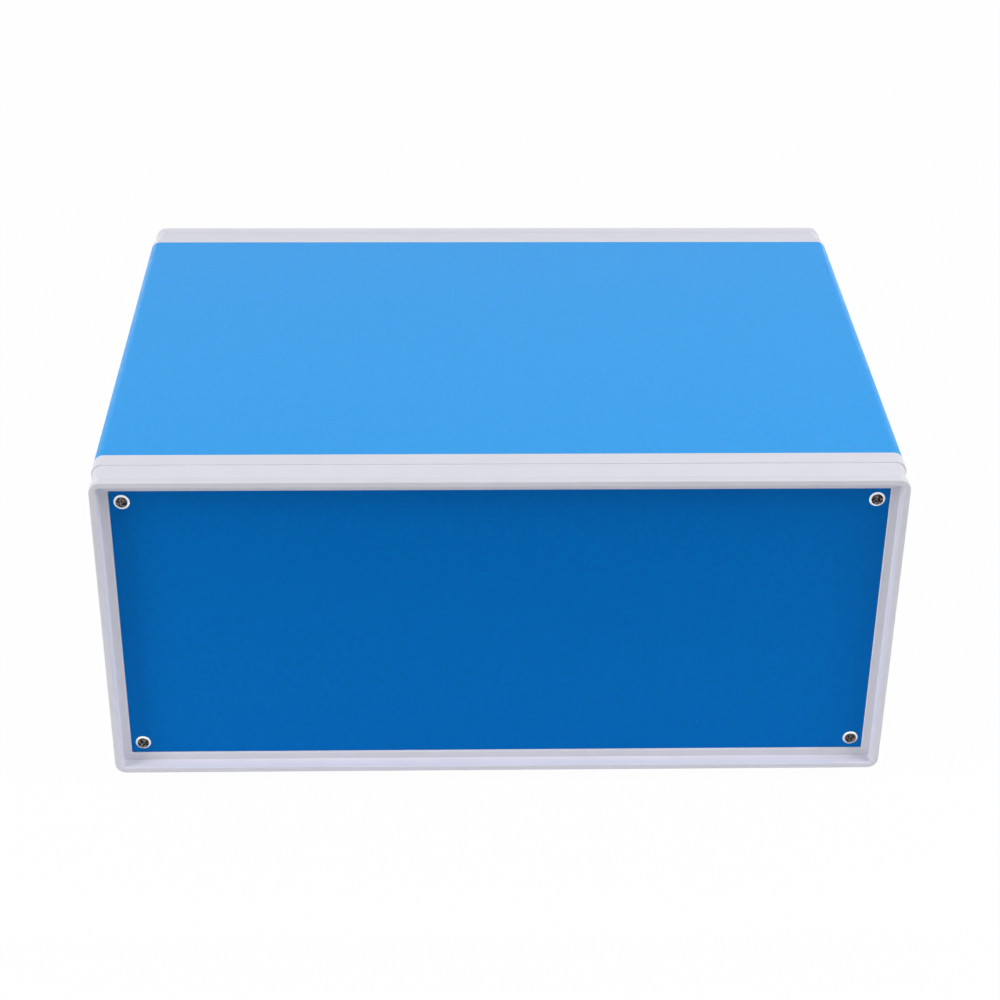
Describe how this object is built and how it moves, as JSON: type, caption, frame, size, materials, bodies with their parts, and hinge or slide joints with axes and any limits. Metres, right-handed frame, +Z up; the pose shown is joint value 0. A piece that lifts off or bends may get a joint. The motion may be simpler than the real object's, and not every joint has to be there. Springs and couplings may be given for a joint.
{
  "type": "project box",
  "caption": "Rectangular sheet-steel project box with folded blue covers between moulded pale grey end frames, blank screwed-on front and rear panels, side vents and rubber feet.",
  "frame": {"origin": "middle of the box on the surface that the feet stand on", "axes": "+X to the right seen from the front, -Y out of the front panel, +Z up"},
  "size_m": [0.25, 0.19, 0.115],
  "materials": {
    "frame_plastic": "moulded pale grey plastic, fine satin grain",
    "cover_paint": "blue baked paint on folded steel sheet, fine texture",
    "panel_paint": "blue baked paint on flat steel sheet, fine texture",
    "screw_plating": "bright nickel plating",
    "zinc_plating": "bright zinc plating",
    "foot_rubber": "matt black moulded rubber"
  },
  "bodies": {
    "root": {"front_frame": "frame_plastic", "rear_frame": "frame_plastic", "top_cover": "cover_paint", "bottom_cover": "cover_paint", "front_panel": "panel_paint", "rear_panel": "panel_paint", "front_panel_screws": "screw_plating", "rear_panel_screws": "screw_plating", "foot_front_left": "foot_rubber", "foot_front_right": "foot_rubber", "foot_rear_left": "foot_rubber", "foot_rear_right": "foot_rubber", "foot_washers": "zinc_plating", "foot_screws": "zinc_plating", "foot_nuts": "zinc_plating"}
  },
  "joints": []
}
